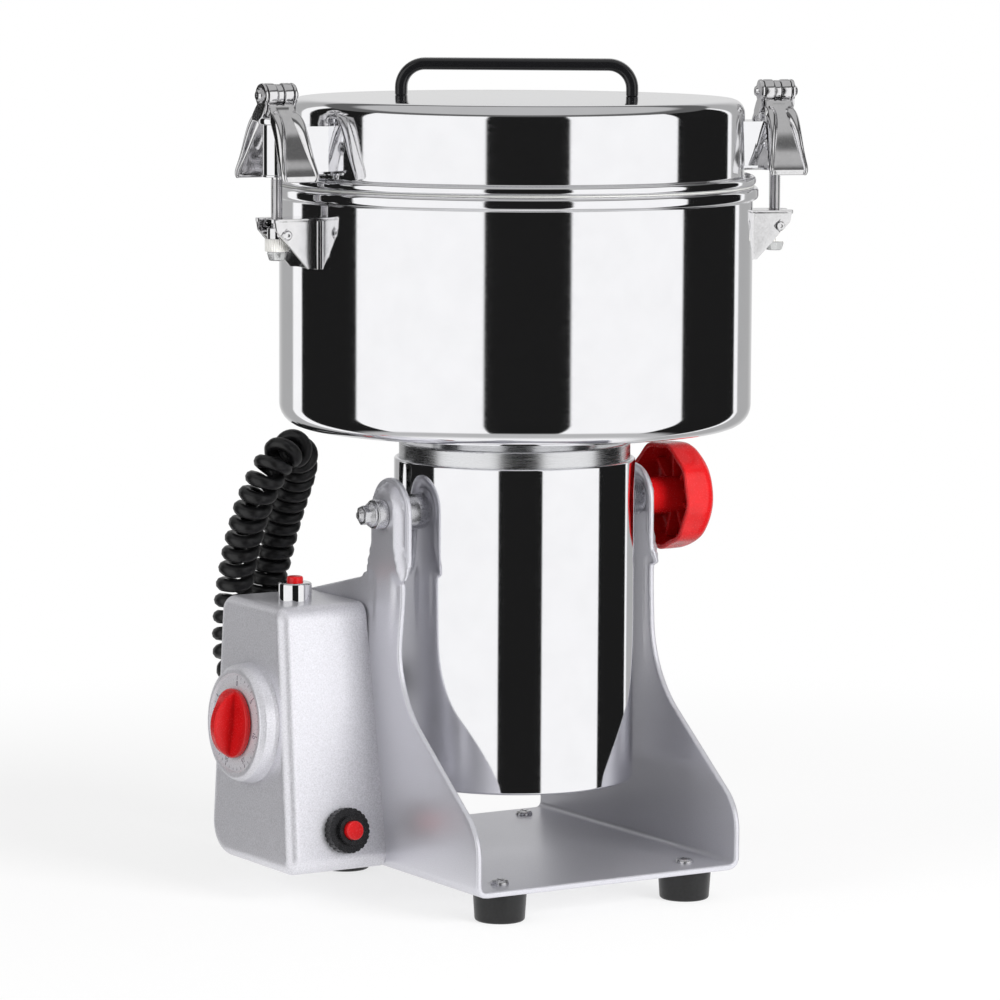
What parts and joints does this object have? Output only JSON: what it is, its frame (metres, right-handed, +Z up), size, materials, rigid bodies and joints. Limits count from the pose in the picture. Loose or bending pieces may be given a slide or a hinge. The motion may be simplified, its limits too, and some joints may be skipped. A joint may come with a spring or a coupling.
{
  "type": "electric grain mill",
  "caption": "Electric grain mill: a lidded steel bowl on a polished motor that tilts in a pressed cradle, with a control box, clamp latches, timer and lock knob.",
  "frame": {"origin": "on the table, at the middle of the whole mill's width and depth", "axes": "+X along the tilt axis towards the lock knob, -Y the open front, +Z up along the motor shaft"},
  "size_m": [0.3062, 0.255, 0.4234],
  "materials": {
    "polished_steel": "mirror polished stainless steel",
    "grey_lacquer": "fine metallic silver lacquer",
    "hammer_lacquer": "silver hammertone lacquer",
    "cast_aluminium": "turned aluminium",
    "plain_steel": "plated steel",
    "blade_steel": "ground stainless steel",
    "laminations": "stacked sheet",
    "copper": "enamelled copper",
    "brass": "drawn brass",
    "carbon": "pressed carbon",
    "chrome_plate": "bright chrome plate",
    "black_plastic": "black moulding",
    "red_plastic": "red moulding",
    "dial_face": "printed dial",
    "white_nylon": "natural nylon",
    "black_rubber": "black rubber",
    "silicone": "clear silicone"
  },
  "bodies": {
    "base": {"cradle": "grey_lacquer", "rubber_feet": "black_rubber", "cradle_screws": "plain_steel", "control_box": "hammer_lacquer", "timer_body": "black_plastic", "dial_plate": "dial_face", "breaker_body": "black_plastic", "breaker_nut": "black_plastic", "switch_body": "black_plastic", "switch_bezel": "chrome_plate", "terminal_block": "white_nylon", "box_gland": "black_rubber", "curly_cord_box_side": "black_rubber"},
    "mill": {"curly_cord_motor_side": "black_rubber", "motor_gland": "black_rubber", "motor_housing": "polished_steel", "bottom_cover": "cast_aluminium", "top_cover": "cast_aluminium", "trunnion_blocks": "plain_steel", "stator_core": "laminations", "field_coils": "copper", "rotor_bearings": "plain_steel", "brush_holders": "brass", "carbon_brushes": "carbon", "bowl": "polished_steel", "bowl_screws": "plain_steel", "shaft_seal": "black_rubber", "latch_brackets": "polished_steel", "latch_pins": "polished_steel", "pivot_bush": "plain_steel", "pivot_bolt": "plain_steel"},
    "rotor": {"rotor_shaft": "plain_steel", "armature_core": "laminations", "commutator": "copper", "cooling_fan": "black_plastic", "lower_blade": "blade_steel", "middle_blade": "blade_steel", "upper_blade": "blade_steel", "blade_spacers": "plain_steel", "blade_nut": "plain_steel"},
    "lid": {"lid_shell": "polished_steel", "lid_gasket": "silicone", "lid_handle": "black_plastic", "handle_screws": "plain_steel", "lid_forks": "polished_steel"},
    "left_latch": {"left_swing_bolt": "polished_steel", "left_saddle": "polished_steel", "left_adjuster": "white_nylon"},
    "right_latch": {"right_swing_bolt": "polished_steel", "right_saddle": "polished_steel", "right_adjuster": "white_nylon"},
    "left_front_lever": {"left_front_wing": "polished_steel"},
    "left_rear_lever": {"left_rear_wing": "polished_steel"},
    "right_front_lever": {"right_front_wing": "polished_steel"},
    "right_rear_lever": {"right_rear_wing": "polished_steel"},
    "lock": {"lock_knob": "red_plastic"},
    "timer": {"timer_knob": "red_plastic"},
    "reset": {"reset_button": "red_plastic"},
    "push": {"push_button": "red_plastic"}
  },
  "joints": [
    {"name": "tilt", "type": "hinge", "parent": "base", "child": "mill", "pos_m": [0.0065, 0, 0.196], "axis": [1, 0, 0], "range_deg": [0, 95]},
    {"name": "rotor_spin", "type": "hinge", "parent": "mill", "child": "rotor", "pos_m": [0.0065, 0, 0.238], "axis": [0, 0, 1], "continuous": true},
    {"name": "lid_lift", "type": "slide", "parent": "mill", "child": "lid", "axis": [0, 0, 1], "range_m": [0, 0.024]},
    {"name": "left_swing", "type": "hinge", "parent": "mill", "child": "left_latch", "pos_m": [-0.12942, 0.00475, 0.338], "axis": [-0.0349, -0.9994, 0], "range_deg": [0, 90]},
    {"name": "left_front_flip", "type": "hinge", "parent": "left_latch", "child": "left_front_lever", "pos_m": [-0.12942, 0.00475, 0.4064], "axis": [-0.9994, 0.0349, 0], "range_deg": [0, 105]},
    {"name": "left_rear_flip", "type": "hinge", "parent": "left_latch", "child": "left_rear_lever", "pos_m": [-0.12942, 0.00475, 0.4064], "axis": [0.9994, -0.0349, 0], "range_deg": [0, 105]},
    {"name": "right_swing", "type": "hinge", "parent": "mill", "child": "right_latch", "pos_m": [0.13509, -0.04428, 0.338], "axis": [0.3256, 0.9455, 0], "range_deg": [0, 90]},
    {"name": "right_front_flip", "type": "hinge", "parent": "right_latch", "child": "right_front_lever", "pos_m": [0.13509, -0.04428, 0.4064], "axis": [-0.9455, 0.3256, 0], "range_deg": [0, 105]},
    {"name": "right_rear_flip", "type": "hinge", "parent": "right_latch", "child": "right_rear_lever", "pos_m": [0.13509, -0.04428, 0.4064], "axis": [0.9455, -0.3256, 0], "range_deg": [0, 105]},
    {"name": "lock_turn", "type": "hinge", "parent": "mill", "child": "lock", "pos_m": [0.0965, 0, 0.196], "axis": [1, 0, 0], "range_deg": [0, 360]},
    {"name": "timer_turn", "type": "hinge", "parent": "base", "child": "timer", "pos_m": [-0.12371, 0.043, 0.088], "axis": [0.9986, 0, -0.0526], "range_deg": [0, 300]},
    {"name": "reset_press", "type": "slide", "parent": "base", "child": "reset", "axis": [0, 0.9854, -0.1704], "range_m": [0, 0.002], "stiffness_N_per_m": 400},
    {"name": "switch_press", "type": "slide", "parent": "base", "child": "push", "axis": [0, 0, -1], "range_m": [0, 0.002], "stiffness_N_per_m": 400}
  ],
  "couplings": [
    {"joint": "left_swing", "follows": "lid_lift", "rad_per_m": 65.449},
    {"joint": "right_swing", "follows": "lid_lift", "rad_per_m": 65.449}
  ]
}
